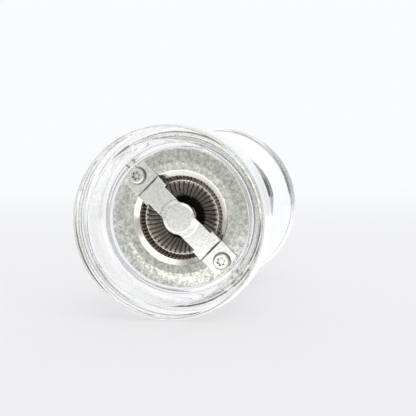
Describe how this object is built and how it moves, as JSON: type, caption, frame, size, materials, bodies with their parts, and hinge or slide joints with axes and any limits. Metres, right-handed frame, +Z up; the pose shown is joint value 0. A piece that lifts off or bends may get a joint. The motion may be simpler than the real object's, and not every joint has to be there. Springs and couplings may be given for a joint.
{
  "type": "pepper mill",
  "caption": "Clear acrylic hourglass pepper mill with a turning head, a finial knob that sets the grind, and a steel burr mechanism behind a bridge in its hollow foot.",
  "frame": {"origin": "centre of the foot's lower face, on the mill's axis", "axes": "+Z up the axis from the foot to the knob, X along the bridge from one bridge screw to the other"},
  "size_m": [0.058, 0.058, 0.12],
  "materials": {
    "acrylic": "clear, polished",
    "zinc_plated_steel": "zinc plated, mottled satin",
    "hardened_steel": "dark, case hardened",
    "nickel_plate": "nickel plated, bright",
    "stainless_steel": "plain stamped",
    "shaft_aluminium": "drawn bar",
    "polished_steel": "turned and polished"
  },
  "bodies": {
    "body": {"body": "acrylic", "base_plate": "zinc_plated_steel", "ring_burr": "hardened_steel", "bridge": "zinc_plated_steel", "bridge_screws": "nickel_plate"},
    "head": {"head": "acrylic", "drive_plate": "stainless_steel", "drive_plate_screws": "nickel_plate"},
    "knob": {"knob": "polished_steel"},
    "shaft": {"shaft": "shaft_aluminium", "male_burr": "hardened_steel"}
  },
  "joints": [
    {"name": "head_turn", "type": "hinge", "parent": "body", "child": "head", "pos_m": [0, 0, 0.062], "axis": [0, 0, 1], "continuous": true},
    {"name": "knob_turn", "type": "hinge", "parent": "head", "child": "knob", "pos_m": [0, 0, 0.107], "axis": [0, 0, 1], "range_deg": [-360, 540]},
    {"name": "shaft_slide", "type": "slide", "parent": "head", "child": "shaft", "axis": [0, 0, 1], "range_m": [-0.0012, 0.0008]}
  ],
  "couplings": [
    {"joint": "knob_turn", "follows": "shaft_slide", "rad_per_m": -7850}
  ]
}
